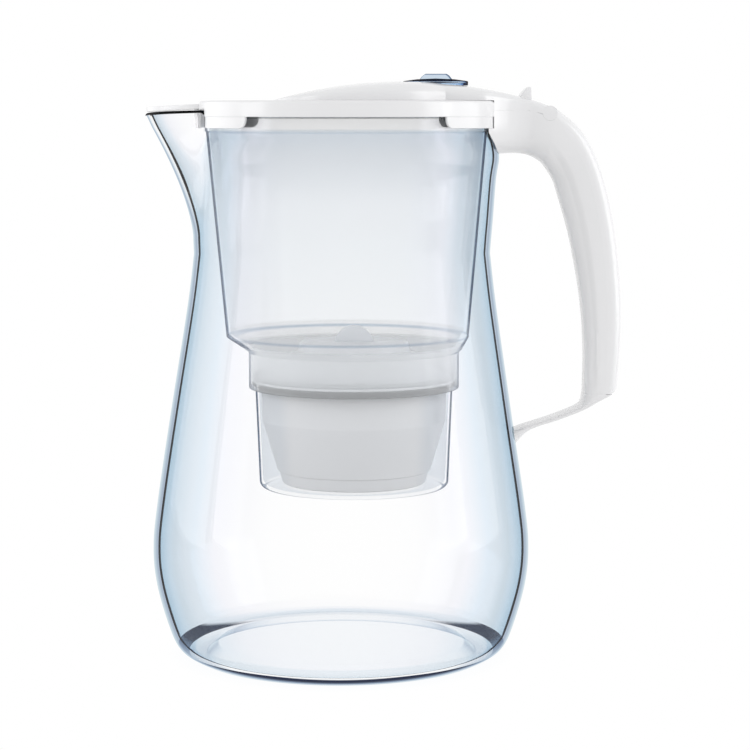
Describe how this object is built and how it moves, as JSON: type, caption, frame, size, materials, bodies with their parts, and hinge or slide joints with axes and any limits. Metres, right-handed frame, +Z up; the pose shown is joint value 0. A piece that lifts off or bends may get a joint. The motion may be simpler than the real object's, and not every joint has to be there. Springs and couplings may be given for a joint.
{
  "type": "water filter pitcher",
  "caption": "Clear water jug with a lift-out funnel and filter cartridge, a flip lid with a thumb fin, a spout flap, a change reminder dial and a C-shaped handle.",
  "frame": {"origin": "centre of the jug's round base, on the plane that it rests on", "axes": "+Z up, -X towards the spout, +X towards the handle"},
  "size_m": [0.235, 0.188, 0.2888],
  "materials": {
    "clear_plastic": "clear moulded plastic with a faint blue tint",
    "frosted_plastic": "translucent moulded plastic, faintly frosted",
    "white_plastic": "glossy white moulded plastic",
    "blue_plastic": "clear blue moulded plastic",
    "scale_plastic": "matt white",
    "steel_pin": "drawn stainless rod",
    "cartridge_plastic": "pale grey moulded plastic",
    "seal_rubber": "soft pale silicone",
    "media_grains": "dark grains",
    "mesh_fabric": "fine white woven mesh"
  },
  "bodies": {
    "jug": {"jug_body": "clear_plastic", "handle_body": "white_plastic", "handle_cover": "white_plastic"},
    "funnel": {"funnel": "frosted_plastic", "funnel_well": "frosted_plastic"},
    "cartridge": {"cartridge_shell": "cartridge_plastic", "cartridge_cap": "cartridge_plastic", "cartridge_grip": "cartridge_plastic", "cartridge_seal": "seal_rubber", "filter_media": "media_grains", "inlet_mesh": "mesh_fabric", "outlet_mesh": "mesh_fabric"},
    "lid": {"lid_frame": "white_plastic", "lid_hinge_pin": "steel_pin", "spout_flap_pin": "steel_pin"},
    "flip_lid": {"flip_lid": "white_plastic", "dial_scale": "scale_plastic"},
    "spout_flap": {"spout_flap": "white_plastic"},
    "dial": {"dial_knob": "blue_plastic", "dial_clip": "white_plastic"}
  },
  "joints": [
    {"name": "funnel_lift", "type": "slide", "parent": "jug", "child": "funnel", "axis": [0, 0, 1], "range_m": [0, 0.2]},
    {"name": "cartridge_lift", "type": "slide", "parent": "funnel", "child": "cartridge", "axis": [0, 0, 1], "range_m": [0, 0.075]},
    {"name": "lid_lift", "type": "slide", "parent": "funnel", "child": "lid", "axis": [0, 0, 1], "range_m": [0, 0.05]},
    {"name": "flip_lid_hinge", "type": "hinge", "parent": "lid", "child": "flip_lid", "pos_m": [0.1023, 0, 0.2698], "axis": [0, 1, 0], "range_deg": [0, 70]},
    {"name": "spout_flap_hinge", "type": "hinge", "parent": "lid", "child": "spout_flap", "pos_m": [-0.0635, 0, 0.2742], "axis": [0, 1, 0], "range_deg": [0, 60]},
    {"name": "dial_turn", "type": "hinge", "parent": "flip_lid", "child": "dial", "pos_m": [0.0468, 0, 0.2833], "axis": [0, 0, 1], "continuous": true}
  ]
}
